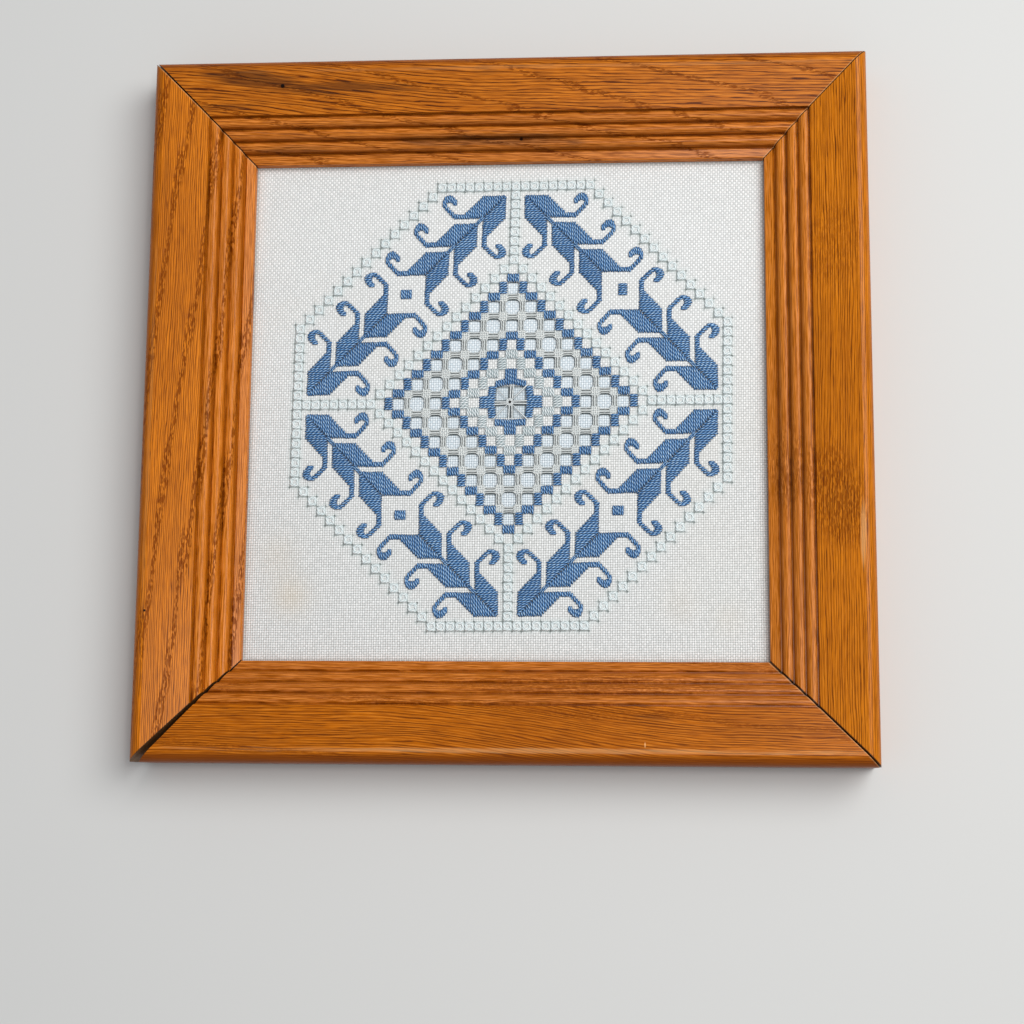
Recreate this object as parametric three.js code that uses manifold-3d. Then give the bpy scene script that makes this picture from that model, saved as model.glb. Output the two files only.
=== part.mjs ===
// A square of cut-thread embroidery in a stained oak frame, lying on its back with its face up.
// Millimetres, +Z out of the face. The origin is on the back plane, in the middle of the frame.
// The lower rail is the one towards -Y.
import * as THREE from "three";
import { mergeVertices } from "three/addons/utils/BufferGeometryUtils.js";
import Module from "manifold-3d";

// Driving dimensions of the frame.
const SIGHT_WIDTH = 254; // clear opening, along X
const SIGHT_HEIGHT = 249; // clear opening, along Y
const RAIL_WIDTH = 49.2; // width of the moulding, seen from the front
const FACE_Z = 8.5; // top of the embroidered cloth above the back plane

// Driving dimensions of the moulding. Heights are above the top of the embroidered cloth.
const LIP_GAP = 0.4; // from the cloth to the underside of the lip
const LIP_EDGE_HEIGHT = 4.0; // where the lip's inner edge starts to round over
const LIP_ROUND = 0.7; // radius of that rounding
const LIP_CHAMFER = 0.6; // slope from the lip down into the first groove
const RABBET_WIDTH = 6.4; // how far the rabbet reaches under the moulding
const GROOVE_WIDTH = 0.5; // flat floor between two reeds
const REED_SHOULDER = 0.62; // where a reed is highest, as a share of its width
const REED_CROWN = 0.9; // how far a reed stands above its outer groove
const FLAT_START = 21.7; // distance of the wide flat from the opening
const FLAT_START_HEIGHT = 17.2;
const CREST = 43.4; // distance of the crest, where the outer edge starts to round over
const CREST_HEIGHT = 22;
const WALL_HEIGHT = 16; // where the rounding meets the upright outer side
const EDGE_STEPS = 24; // straight pieces in the outer rounding
const REED_STEPS = 10; // straight pieces in each half of a reed

// The grooves beside the reeds: distance from the opening and height, from the inside out.
const GROOVES = [
  { out: 5.1, height: 5.1 },
  { out: 10.5, height: 8.8 },
  { out: 15.8, height: 12.2 },
  { out: 21.1, height: 15.2 },
];

// The rails: the turn about +Z that takes a rail from the upper side to its own, the opening's side that it
// lies along and the one across it, and how far each mitre is cut back at the opening and at the outer
// corner. The first end lies at -X before the turn.
const RAILS = [
  {
    name: "rail_top", turn: 0, along: SIGHT_WIDTH, across: SIGHT_HEIGHT,
    first: [0.22, 0.9], last: [0.22, 0.4],
  },
  {
    name: "rail_left", turn: 90, along: SIGHT_HEIGHT, across: SIGHT_WIDTH,
    first: [0.22, 0.22], last: [0.22, 0.22],
  },
  {
    name: "rail_bottom", turn: 180, along: SIGHT_WIDTH, across: SIGHT_HEIGHT,
    first: [0.22, 0.9], last: [0.4, 4.7],
  },
  {
    name: "rail_right", turn: 270, along: SIGHT_HEIGHT, across: SIGHT_WIDTH,
    first: [0.22, 0.22], last: [0.22, 0.22],
  },
];

// Driving dimensions of the cloths and the board, which lie in the rabbet.
const EDGE_CLEARANCE = 0.8; // from their edges to the side of the rabbet
const LAYER_GAP = 0.3;
const CLOTH_THICKNESS = 1.0;
const BOARD_THICKNESS = 3.0;

// The embroidery is counted in threads of the cloth. A cell is a block of four by four threads.
const THREAD_X = 1.157; // spacing of the upright threads
const THREAD_Y = 1.21; // spacing of the level threads
const CELL = 4; // threads
const DESIGN_CENTRE = { x: 2.2, y: 3.0 }; // from the middle of the opening
const HOLE_THREADS = 5.2; // clear side of a cut hole once its edges are drawn together
const FIRST_HOLE_RING = 8; // cells from the centre, counted along both axes
const LAST_HOLE_RING = 12;
const CENTRE_OPENING_THREADS = 12;

const wasm = await Module();
wasm.setup();

const OAK = { color: 0xb4621a, roughness: 0.42 };
const CLOTH = { color: 0xdedcd6, roughness: 0.95 };
const BACKING = { color: 0xdfe6e6, roughness: 0.95 };
const BOARD = { color: 0x8f8474, roughness: 0.9 };

function finish({ color, roughness }) {
  return new THREE.MeshStandardMaterial({ color, roughness, metalness: 0 });
}

// One reed, from the groove floor on its inner side up over its shoulder and down to the next groove.
function addReed(outline, inner, outer) {
  const start = inner.out + GROOVE_WIDTH / 2;
  const end = outer.out - GROOVE_WIDTH / 2;
  const shoulder = start + (end - start) * REED_SHOULDER;
  const top = FACE_Z + outer.height + REED_CROWN;
  outline.lineTo(start, FACE_Z + inner.height);
  outline.quadraticCurveTo(start, top, shoulder, top);
  outline.quadraticCurveTo(end, top, end, FACE_Z + outer.height);
}

// The front of the moulding from the underside of the lip out to the foot of the wide flat.
function lipAndReeds() {
  const line = new THREE.Shape();
  const first = GROOVES[0];
  const last = GROOVES.at(-1);
  const roundStart = FACE_Z + LIP_EDGE_HEIGHT;
  line.moveTo(0, FACE_Z + LIP_GAP);
  line.lineTo(0, roundStart);
  line.absarc(LIP_ROUND, roundStart, LIP_ROUND, Math.PI, Math.PI / 2, true);
  line.lineTo(first.out - GROOVE_WIDTH / 2 - LIP_CHAMFER, FACE_Z + first.height + LIP_CHAMFER);
  line.lineTo(first.out - GROOVE_WIDTH / 2, FACE_Z + first.height);
  GROOVES.slice(1).forEach((groove, i) => addReed(line, GROOVES[i], groove));
  line.lineTo(last.out + GROOVE_WIDTH / 2, FACE_Z + last.height);
  return line.getPoints(REED_STEPS);
}

// The moulding's section: x is the distance outwards from the opening and y the height above the back.
function mouldingSection() {
  const outline = new THREE.Shape();
  const wallTop = FACE_Z + WALL_HEIGHT;
  outline.moveTo(RABBET_WIDTH, 0);
  outline.lineTo(RAIL_WIDTH, 0);
  outline.lineTo(RAIL_WIDTH, wallTop);
  outline.absellipse(
    CREST, wallTop,
    RAIL_WIDTH - CREST, CREST_HEIGHT - WALL_HEIGHT,
    0, Math.PI / 2, false, 0,
  );
  outline.lineTo(FLAT_START, FACE_Z + FLAT_START_HEIGHT);
  for (const point of lipAndReeds().reverse()) outline.lineTo(point.x, point.y);
  outline.lineTo(RABBET_WIDTH, FACE_Z + LIP_GAP);
  outline.closePath();
  return outline;
}

// How much is taken off a rail's end at a distance from the opening.
function cutBack([atOpening, atCorner], out) {
  return THREE.MathUtils.lerp(atOpening, atCorner, out / RAIL_WIDTH);
}

// One mitred rail on the upper side of an opening, its length along X.
function railGeometry(section, { along, across, first, last }) {
  const geometry = new THREE.ExtrudeGeometry(section, {
    depth: 1, steps: 1, bevelEnabled: false, curveSegments: EDGE_STEPS,
  });
  const place = geometry.getAttribute("position");
  for (let i = 0; i < place.count; i++) {
    const out = place.getX(i);
    const height = place.getY(i);
    const reach = along / 2 + out;
    const atLast = place.getZ(i) > 0.5;
    const x = atLast ? reach - cutBack(last, out) : cutBack(first, out) - reach;
    place.setXYZ(i, x, across / 2 + out, height);
  }
  geometry.computeVertexNormals();
  return geometry;
}

function buildFrame() {
  const frame = new THREE.Group();
  const section = mouldingSection();
  for (const side of RAILS) {
    const rail = new THREE.Mesh(railGeometry(section, side), finish(OAK));
    rail.name = side.name;
    rail.rotation.z = THREE.MathUtils.degToRad(side.turn);
    frame.add(rail);
  }
  return frame;
}

// A closed geometry as a solid that can be joined and cut.
function toSolid(geometry) {
  const bare = geometry.clone();
  bare.deleteAttribute("normal");
  bare.deleteAttribute("uv");
  const merged = mergeVertices(bare);
  return new wasm.Manifold(
    new wasm.Mesh({
      numProp: 3,
      vertProperties: new Float32Array(merged.getAttribute("position").array),
      triVerts: new Uint32Array(merged.index.array),
    }),
  );
}

function toGeometry(solid) {
  const { vertProperties, triVerts } = solid.getMesh();
  const geometry = new THREE.BufferGeometry();
  geometry.setAttribute("position", new THREE.BufferAttribute(vertProperties, 3));
  geometry.setIndex(new THREE.BufferAttribute(triVerts, 1));
  geometry.computeVertexNormals();
  return geometry;
}

// A flat layer that fills the rabbet, its middle at the origin.
function panelGeometry(thickness) {
  const reach = 2 * (RABBET_WIDTH - EDGE_CLEARANCE);
  return new THREE.BoxGeometry(SIGHT_WIDTH + reach, SIGHT_HEIGHT + reach, thickness);
}

// A block that cuts one hole, its centre and side counted in threads from the middle of the design.
function holeSolid(column, row, threads) {
  const cutter = new THREE.BoxGeometry(threads * THREAD_X, threads * THREAD_Y, 3 * CLOTH_THICKNESS);
  cutter.translate(DESIGN_CENTRE.x + column * THREAD_X, DESIGN_CENTRE.y + row * THREAD_Y, 0);
  return toSolid(cutter);
}

// The cut holes stand in rings of a diamond, on every second cell both ways.
function cutHoles() {
  const holes = [holeSolid(0, 0, CENTRE_OPENING_THREADS)];
  for (let i = -LAST_HOLE_RING; i <= LAST_HOLE_RING; i += 2) {
    for (let j = -LAST_HOLE_RING; j <= LAST_HOLE_RING; j += 2) {
      const ring = Math.abs(i) + Math.abs(j);
      if (ring < FIRST_HOLE_RING || ring > LAST_HOLE_RING) continue;
      holes.push(holeSolid(i * CELL, j * CELL, HOLE_THREADS));
    }
  }
  return holes;
}

function groundClothGeometry() {
  const cloth = cutHoles().reduce(
    (left, hole) => left.subtract(hole),
    toSolid(panelGeometry(CLOTH_THICKNESS)),
  );
  return toGeometry(cloth);
}

// A flat layer in the rabbet whose top lies at a height above the back plane.
function layer(name, geometry, thickness, top, look) {
  const mesh = new THREE.Mesh(geometry, finish(look));
  mesh.name = name;
  mesh.position.z = top - thickness / 2;
  return mesh;
}

function buildPanels() {
  const panels = new THREE.Group();
  const backingTop = FACE_Z - CLOTH_THICKNESS - LAYER_GAP;
  const boardTop = backingTop - CLOTH_THICKNESS - LAYER_GAP;
  panels.add(
    layer("ground_cloth", groundClothGeometry(), CLOTH_THICKNESS, FACE_Z, CLOTH),
    layer("backing_cloth", panelGeometry(CLOTH_THICKNESS), CLOTH_THICKNESS, backingTop, BACKING),
    layer("back_board", panelGeometry(BOARD_THICKNESS), BOARD_THICKNESS, boardTop, BOARD),
  );
  return panels;
}

const part = new THREE.Group();
part.add(buildFrame(), buildPanels());

export default part;
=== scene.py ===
# The looks of a square of cut-thread embroidery in a stained oak frame, lying on its back with its face up.
# Lengths in the tables below are millimetres. The embroidery is laid out in threads of the cloth, counted
# from the middle of the design: u to the right and v towards the upper rail.
import itertools
import math

import bpy
import numpy as np
from mathutils import Matrix, Vector


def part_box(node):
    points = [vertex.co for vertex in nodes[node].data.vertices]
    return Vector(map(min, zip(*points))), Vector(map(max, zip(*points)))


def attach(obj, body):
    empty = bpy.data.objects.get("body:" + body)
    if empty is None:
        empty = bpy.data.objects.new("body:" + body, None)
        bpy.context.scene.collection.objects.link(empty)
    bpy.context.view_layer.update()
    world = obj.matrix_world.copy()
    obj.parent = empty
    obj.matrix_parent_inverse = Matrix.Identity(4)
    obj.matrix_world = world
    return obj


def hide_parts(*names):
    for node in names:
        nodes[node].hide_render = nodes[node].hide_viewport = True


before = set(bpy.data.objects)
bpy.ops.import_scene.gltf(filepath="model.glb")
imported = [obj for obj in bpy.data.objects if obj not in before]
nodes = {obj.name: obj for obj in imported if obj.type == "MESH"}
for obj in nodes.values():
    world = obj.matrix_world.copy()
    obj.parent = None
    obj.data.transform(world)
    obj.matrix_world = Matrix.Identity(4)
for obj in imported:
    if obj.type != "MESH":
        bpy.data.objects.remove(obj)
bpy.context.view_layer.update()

MM = 0.001
rng = np.random.default_rng(7)

# The embroidered cloth.
cloth_low, cloth_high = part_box("ground_cloth")
backing_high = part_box("backing_cloth")[1]
FACE_Z = cloth_high.z
OPENING_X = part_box("rail_right")[0].x
OPENING_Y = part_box("rail_top")[0].y
THREAD_X = 1.157
THREAD_Y = 1.21
DESIGN_X = 2.2
DESIGN_Y = 3.0
CELL = 4
CLOTH_SHEET = 0.45
BACKING_LIFT = 0.5
DESIGN_REACH = 88

# The design, in cells of four threads. A ring is the cells that are equally many steps from the middle.
OUTER_BLOCKS = 13
INNER_BLOCKS = 7
PALE_BLOCKS = 5
CUT_RINGS = range(8, 13)
CENTRE_REACH = 1
INNER_SQUARES = 15
SPOKE_CELLS = range(16, 23)
BORDER_LINE = 23
BORDER_HALF = 8
BORDER_DIAGONAL = 31

# The ends of a block beside a cut hole, drawn back by this share of a thread, and the cut cloth with them.
CUT_END_DRAW = 0.45
CUT_CLOTH_DRAW = 0.6
END_REACH = 0.12

# How deep a stitch's ends go into the cloth, in millimetres.
STITCH_TUCK = 0.3

# The four threads of a kept column or row: how far each lies from the column's middle, in threads.
BAR_SHIFT = 0.25
BAR_OFFSETS = (-0.86, -0.17, 0.17, 0.86)
OPEN_OFFSETS = (-1.35, -0.45, 0.45, 1.35)

# A leaf's straight stitches: for each thread from its outer corner, where the stitch starts and ends.
LEAF_LENGTH = 22
LEAF_SPINE = 10
LEAF_SHOULDER = 18
SPINE_OVERLAP = 0.35
LEAF_CORNERS = ((4, 88), (16, 76), (28, 64))
HOOK = (
    (22, 7.7, 10.2), (23, 6.8, 9.4), (24, 5.7, 8.3), (25, 4.6, 7.3), (26, 3.4, 6.3),
    (27.0, 1.3, 5.0), (26.4, 0.0, 4.0), (25.5, -0.6, 3.1), (24.5, -0.7, 2.8), (23.5, -0.4, 3.1),
    (22.6, 0.4, 4.0), (21.8, 1.3, 4.1),
)

# The photograph's view: turns about X, Y and Z in degrees, where the cloth's middle then lies, and the lens.
CAMERA_TURNS = (-8.6901, -3.8878, -0.4720)
CAMERA_OFFSET = (-2.93, 50.97, -883.85)
CAMERA_LENS = 63.28
SENSOR = 36.0


def drawn(u, v):
    """Where the pulled cloth holds the crossing u, v, in threads."""
    lean_u = 0.0115 * v + 6e-5 * v**2 - 0.4 * (u / DESIGN_REACH) ** 3
    lean_v = 0.0077 * u - 0.75 * (v / DESIGN_REACH) ** 3
    return u + lean_u, v + lean_v


def swell(x, y):
    """The gentle waves of the stretched cloth, in metres, dying out under the frame."""
    margin = 0.022
    inside_x = np.clip((OPENING_X - np.abs(x)) / margin, 0, 1)
    inside_y = np.clip((OPENING_Y - np.abs(y)) / margin, 0, 1)
    waves = (
        0.5 * np.sin(38 * x + 21 * y + 0.6)
        + 0.3 * np.sin(-27 * x + 44 * y + 2.1)
        + 0.2 * np.sin(71 * x - 30 * y)
    )
    return 0.22 * MM * waves * inside_x * inside_y


def place(u, v, height=0.0):
    """Points in metres of the cloth at u, v, lifted by height in millimetres."""
    u, v, height = np.broadcast_arrays(
        np.asarray(u, float), np.asarray(v, float), np.asarray(height, float)
    )
    pulled_u, pulled_v = drawn(u, v)
    x = (DESIGN_X + pulled_u * THREAD_X) * MM
    y = (DESIGN_Y + pulled_v * THREAD_Y) * MM
    z = FACE_Z + swell(x, y) + height * MM
    return np.stack([x, y, z], -1)


def ring_of(i, j):
    return abs(i) + abs(j)


def ring(n):
    """The cells of ring n."""
    return [(i, j) for i in range(-n, n + 1) for j in range(-n, n + 1) if ring_of(i, j) == n]


def is_hole(i, j):
    """True for a cell whose threads are cut away both ways."""
    return i % 2 == 0 and j % 2 == 0 and ring_of(i, j) in CUT_RINGS


def is_open(i, j):
    """True for a cell where the plain cloth gives way to kept threads or to nothing."""
    return ring_of(i, j) in CUT_RINGS or max(abs(i), abs(j)) <= CENTRE_REACH


def square_cells():
    """The cells outlined with four-sided stitches."""
    cells = set(ring(INNER_SQUARES))
    for n in SPOKE_CELLS:
        cells |= {(0, n), (0, -n), (n, 0), (-n, 0)}
    for n in range(-BORDER_HALF, BORDER_HALF + 1):
        cells |= {(n, BORDER_LINE), (n, -BORDER_LINE), (BORDER_LINE, n), (-BORDER_LINE, n)}
    cells |= {c for c in ring(BORDER_DIAGONAL) if BORDER_HALF < abs(c[0]) < BORDER_LINE}
    return sorted(cells)


# Meshes.


def new_mesh(name, points, faces, attributes=None, smooth=True):
    """A mesh object with numbers on its vertices: attributes maps a name to one number or three a vertex."""
    mesh = bpy.data.meshes.new(name)
    mesh.from_pydata(np.asarray(points).tolist(), [], np.asarray(faces, dtype=object).tolist())
    mesh.polygons.foreach_set("use_smooth", [smooth] * len(mesh.polygons))
    for key, values in (attributes or {}).items():
        values = np.asarray(values, np.float32)
        kind, field = ("FLOAT", "value") if values.ndim == 1 else ("FLOAT_VECTOR", "vector")
        mesh.attributes.new(key, kind, "POINT").data.foreach_set(field, values.ravel())
    piece = bpy.data.objects.new(name, mesh)
    bpy.context.scene.collection.objects.link(piece)
    return piece


def add_piece(piece, material):
    """Gives a finished piece its material and its place in the frame."""
    piece.data.materials.append(material)
    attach(piece, "root")
    return piece


class Strands:
    """Gathers strands of thread into one mesh."""

    sides = 6

    def __init__(self):
        self.points = []
        self.faces = []
        self.twist = []
        self.lift = []
        self.count = 0

    def add(self, path, half_width, half_height, tone, lift):
        """A strand along path, in metres. Its half sizes are millimetres, one for each point of the path."""
        n = len(path)
        tangent = np.gradient(path, axis=0)
        tangent /= np.linalg.norm(tangent, axis=1, keepdims=True)
        side = np.cross([0, 0, 1], tangent)
        side /= np.linalg.norm(side, axis=1, keepdims=True)
        up = np.cross(tangent, side)
        turn = 2 * np.pi * np.arange(self.sides) / self.sides
        wide = np.broadcast_to(half_width, n)[:, None, None] * MM
        high = np.broadcast_to(half_height, n)[:, None, None] * MM
        rings = (
            path[:, None, :]
            + side[:, None, :] * np.sin(turn)[None, :, None] * wide
            - up[:, None, :] * np.cos(turn)[None, :, None] * high
        )
        steps = np.linalg.norm(np.diff(path, axis=0), axis=1) / MM
        along = np.concatenate([[0], np.cumsum(steps)]) + rng.uniform(0, 50)
        twist = np.empty((n, self.sides, 3))
        twist[..., 0] = along[:, None]
        twist[..., 1] = (np.arange(self.sides) / self.sides)[None, :]
        twist[..., 2] = tone
        first = self.count + np.arange(n)[:, None] * self.sides + np.arange(self.sides)[None, :]
        after = np.roll(first, -1, axis=1)
        quads = np.stack([first[:-1], after[:-1], after[1:], first[1:]], -1).reshape(-1, 4)
        self.faces += quads.tolist() + [first[0, ::-1].tolist(), first[-1].tolist()]
        self.points.append(rings.reshape(-1, 3))
        self.twist.append(twist.reshape(-1, 3))
        self.lift.append(np.repeat(np.broadcast_to(lift, n), self.sides))
        self.count += n * self.sides

    def stitch(self, start, end, half_width=0.72, rise=0.34, tone=None, half_height=0.42, dimmed=0.0):
        """A stitch between two needle holes, in threads, lying on the cloth and going down at its ends.
        dimmed is how much of its light its last thread or two lose beside the stitches that they meet."""
        start, end = np.asarray(start, float), np.asarray(end, float)
        run = end - start
        length = np.hypot(*run)
        rings = 7 if length < 6 else 9
        s = (1 - np.cos(np.pi * np.linspace(0, 1, rings))) / 2
        from_middle = np.abs(2 * s - 1)
        lift = 1 - from_middle ** (3.3 + 0.67 * length)
        crown = 0.025 * length * (1 - from_middle**2)
        at = start + run * s[:, None]
        path = place(at[:, 0], at[:, 1], rise * lift + crown - STITCH_TUCK * (1 - lift))
        thick = 0.50 + 0.50 * lift
        if tone is None:
            tone = rng.uniform(0.25, 0.75)
        # The stored lift sets the painted shade at the ends; dimmed deepens it at the last threads.
        lift = lift * (1 - dimmed * np.exp((s - 1) * length / 1.4))
        self.add(path, half_width * thick, half_height * thick, tone, lift)

    def finish(self, name, material):
        piece = new_mesh(
            name,
            np.concatenate(self.points),
            self.faces,
            {"twist": np.concatenate(self.twist), "lift": np.concatenate(self.lift)},
        )
        return add_piece(piece, material)


# Materials.


class Shader:
    """A material and short calls that add nodes to it. Each call returns the socket that gives its result."""

    def __init__(self, name):
        self.material = bpy.data.materials.new(name)
        self.material.use_nodes = True
        self.tree = self.material.node_tree
        self.surface = self.tree.nodes["Principled BSDF"]

    def put(self, socket, value):
        if isinstance(value, bpy.types.NodeSocket):
            self.tree.links.new(value, socket)
        elif isinstance(value, tuple) and len(value) == 3 and socket.type == "RGBA":
            socket.default_value = (*value, 1)
        else:
            socket.default_value = value

    def set(self, **values):
        """Sets or links the surface's own inputs, named with _ for a space."""
        for name, value in values.items():
            self.put(self.surface.inputs[name.replace("_", " ")], value)

    def add(self, kind, inputs=(), **settings):
        node = self.tree.nodes.new("ShaderNode" + kind)
        for name, value in settings.items():
            setattr(node, name, value)
        for key, value in dict(inputs).items():
            self.put(node.inputs[key], value)
        return node

    def math(self, operation, *values):
        return self.add("Math", dict(enumerate(values)), operation=operation).outputs[0]

    def times(self, first, second):
        return self.math("MULTIPLY", first, second)

    def times_add(self, first, second, third):
        """The third on top of the product of the first two."""
        return self.math("MULTIPLY_ADD", first, second, third)

    def plus(self, first, second):
        return self.math("ADD", first, second)

    def minus(self, first, second):
        return self.math("SUBTRACT", first, second)

    def over(self, first, second):
        return self.math("DIVIDE", first, second)

    def absolute(self, value):
        return self.math("ABSOLUTE", value)

    def flipped(self, value):
        return self.minus(1.0, value)

    def from_half(self, value):
        """How far value's fraction is from a half."""
        return self.absolute(self.minus(self.math("FRACT", value), 0.5))

    def square_sum(self, first, second):
        return self.plus(self.math("POWER", first, 2.0), self.math("POWER", second, 2.0))

    def distance(self, first, second):
        return self.math("SQRT", self.square_sum(first, second))

    def place(self):
        return self.add("TexCoord").outputs["Object"]

    def split(self, vector):
        return self.add("SeparateXYZ", {0: vector}).outputs

    def join(self, x, y, z):
        return self.add("CombineXYZ", {0: x, 1: y, 2: z}).outputs[0]

    def stored(self, name, output="Fac"):
        return self.add("Attribute", attribute_name=name).outputs[output]

    def noise(self, vector, scale, detail=2.0, roughness=0.5):
        inputs = {"Vector": vector, "Scale": scale, "Detail": detail, "Roughness": roughness}
        return self.add("TexNoise", inputs).outputs["Fac"]

    def range(self, value, low, high, to_low=0.0, to_high=1.0):
        """A smooth rise of the result from to_low to to_high as value goes from low to high."""
        inputs = {"Value": value, "From Min": low, "From Max": high, "To Min": to_low, "To Max": to_high}
        return self.add("MapRange", inputs, interpolation_type="SMOOTHSTEP").outputs["Result"]

    def mix(self, factor, first, second, blend="MIX"):
        node = self.add("Mix", data_type="RGBA", blend_type=blend)
        self.put(node.inputs["Factor"], factor)
        self.put(node.inputs[6], first)
        self.put(node.inputs[7], second)
        return node.outputs[2]

    def ramp(self, value, stops):
        node = self.add("ValToRGB", {"Fac": value})
        elements = node.color_ramp.elements
        while len(elements) < len(stops):
            elements.new(0.5)
        for element, (position, colour) in zip(elements, stops):
            element.position = position
            element.color = (*colour, 1)
        return node.outputs["Color"]

    def bump(self, height, distance, strength):
        inputs = {"Height": height, "Distance": distance, "Strength": strength}
        return self.add("Bump", inputs).outputs["Normal"]


def srgb(red, green, blue):
    """A colour from its screen values, 0 to 255, as the linear values that the shader takes."""
    return tuple(
        c / 12.92 if c <= 0.04045 else ((c + 0.055) / 1.055) ** 2.4
        for c in (red / 255, green / 255, blue / 255)
    )


def grey(level):
    return (level, level, level)


# The oak's colours, apart from each rail's light and dark. The reed crowns' colour and the pale colour are
# painted highlights, and the grooves' colour is stain with painted shade.
BETWEEN_LINES = srgb(250, 158, 56)
DEEP_LINE = srgb(66, 26, 2)
PORE = srgb(114, 44, 0)
SMOKE = srgb(74, 38, 16)
PAINTED_HIGHLIGHT = srgb(252, 190, 124)
NAIL_HOLE = srgb(22, 10, 6)
REED_CROWN_HIGHLIGHT = srgb(240, 156, 92)
GROOVE_STAIN_AND_SHADE = (0.30, 0.20, 0.10)
WORN_WOOD = srgb(232, 178, 122)
MITRE_DIRT = srgb(24, 12, 6)
BARE_DARK = srgb(112, 74, 40)
BARE_LIGHT = srgb(160, 116, 70)

# The moulding's grooves, as distances from the opening.
GROOVES = (5.1, 10.5, 15.8, 21.1)
GROOVE_STAIN_AND_SHADE_WIDTH = 1.0
CREST = 43.4
CREST_HEIGHT = 30.5
RAIL_WIDTH = 49.2

# How each rail differs. along is the axis of its grain and side the direction in which it lies. pitch is the
# distance between its grain lines, steady how little they break up, lean their slant, and bend where they
# curve away: from, to and how far. Pores crowd together in slanting bands: their slope, the distance between
# them, their width as a share of it and how dark they are. They also crowd in patches: the place along the
# rail, the distance from the opening, the two half sizes, the slant and the depth. dashes is how many pores
# there are to a metre, across the grain and along it. Smoke is dark figure in the wood, or, where its depth
# is negative, a pale painted highlight, most of them along the crest: the same six. Nails are filled holes:
# place, distance and radius. edge is how much painted shade darkens the rail beyond its crest. stain is how
# dark the grooves grow, from stain and painted shade together. joints is how wide the dirt lies along the
# mitres at the rail's two ends, and worn says that the far one has also lost its stain.
RAILS = {
    "rail_top": {
        "along": 0, "side": 1, "seed": 3.0, "light": (206, 114, 18), "dark": (112, 48, 4), "contrast": 1.0,
        "pitch": 1.9, "steady": 0.15, "lean": 0.035, "bend": (-175, -10, 14), "stain": 0.60, "worn": 1,
        "edge": 0.45, "joints": (0.35, 0.2), "dashes": (1350.0, 300.0),
        "pores": (0.34, 23, 0.055, 0.8),
        "patches": (),
        "smoke_and_highlights": (
            (-124, 38.5, 44, 5.5, -0.14, 1.0), (-74, 34.3, 34, 3.4, -0.02, 0.95),
            (-140, 26, 24, 2.0, 0.0, 0.6), (-10, 41, 8, 3.0, 0.0, 0.25), (-10, 9.3, 58, 3.2, 0.0, 1.0),
            (34, 8, 7, 2.2, 0.0, 1.0), (-108, 7, 28, 2.0, 0.0, 0.7), (20, 42.6, 160, 1.2, 0.0, -0.18),
        ),
        "nails": ((-111.4, 35.5, 1.0), (7.1, 9.9, 0.9)),
    },
    "rail_left": {
        "along": 1, "side": -1, "seed": 11.0, "light": (222, 124, 6), "dark": (140, 68, 2), "contrast": 0.9,
        "pitch": 1.15, "steady": 0.55, "lean": 0.0, "bend": (-50, 90, 3), "stain": 0.42, "worn": 1,
        "edge": 0.35, "joints": (0.35, 0.35), "dashes": (1050.0, 260.0),
        "pores": (0.145, 19.0, 0.11, 0.9),
        "patches": (),
        "smoke_and_highlights": (
            (-6, 18, 20, 2.0, 0.0, 0.4), (110, 41, 26, 2.0, 0.0, 0.25), (-20, 44.6, 130, 1.4, 0.0, -0.15),
        ),
        "nails": ((-102, 43.5, 0.6),),
    },
    "rail_bottom": {
        "along": 0, "side": -1, "seed": 19.0, "light": (188, 100, 0), "dark": (126, 58, 0), "contrast": 0.75,
        "pitch": 1.5, "steady": 0.1, "lean": -0.012, "bend": (-60, 110, -22), "stain": 0.22, "worn": 1,
        "edge": 0.8, "joints": (0.2, 0.7), "dashes": (1500.0, 420.0),
        "pores": (-0.10, 40, 0.06, 0.4),
        "patches": ((50, 12, 80, 6, 0.0, 0.45),),
        "smoke_and_highlights": (
            (-120, 38, 20, 2.5, 0.1, 0.35), (70, 27, 10, 1.2, 0.1, 0.6), (67.5, 39.6, 0.4, 1.5, 0.0, -1.0),
            (20, 42.6, 190, 1.5, 0.0, -0.42),
        ),
        "nails": (),
    },
    "rail_right": {
        "along": 1, "side": 1, "seed": 27.0, "light": (214, 122, 6), "dark": (142, 70, 0), "contrast": 0.95,
        "pitch": 1.4, "steady": 0.35, "lean": 0.0, "bend": (-60, 80, -3), "stain": 0.38, "worn": 0,
        "edge": 0.0, "joints": (0.7, 0.2), "dashes": (1100.0, 260.0),
        "pores": (0.0, 200, 0.0, 0.0),
        "patches": ((-46, 30, 26, 14, -0.18, 0.75), (76, 31, 24, 15, 0.0, 0.35), (-32, 9, 24, 9, 0.0, 0.6)),
        "smoke_and_highlights": ((-46, 32, 18, 11, -0.18, 0.16), (-36, 8, 18, 8, 0.0, 0.2), (-65, 42.6, 20, 1.6, 0.0, -0.6)),
        "nails": (),
    },
}


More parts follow.
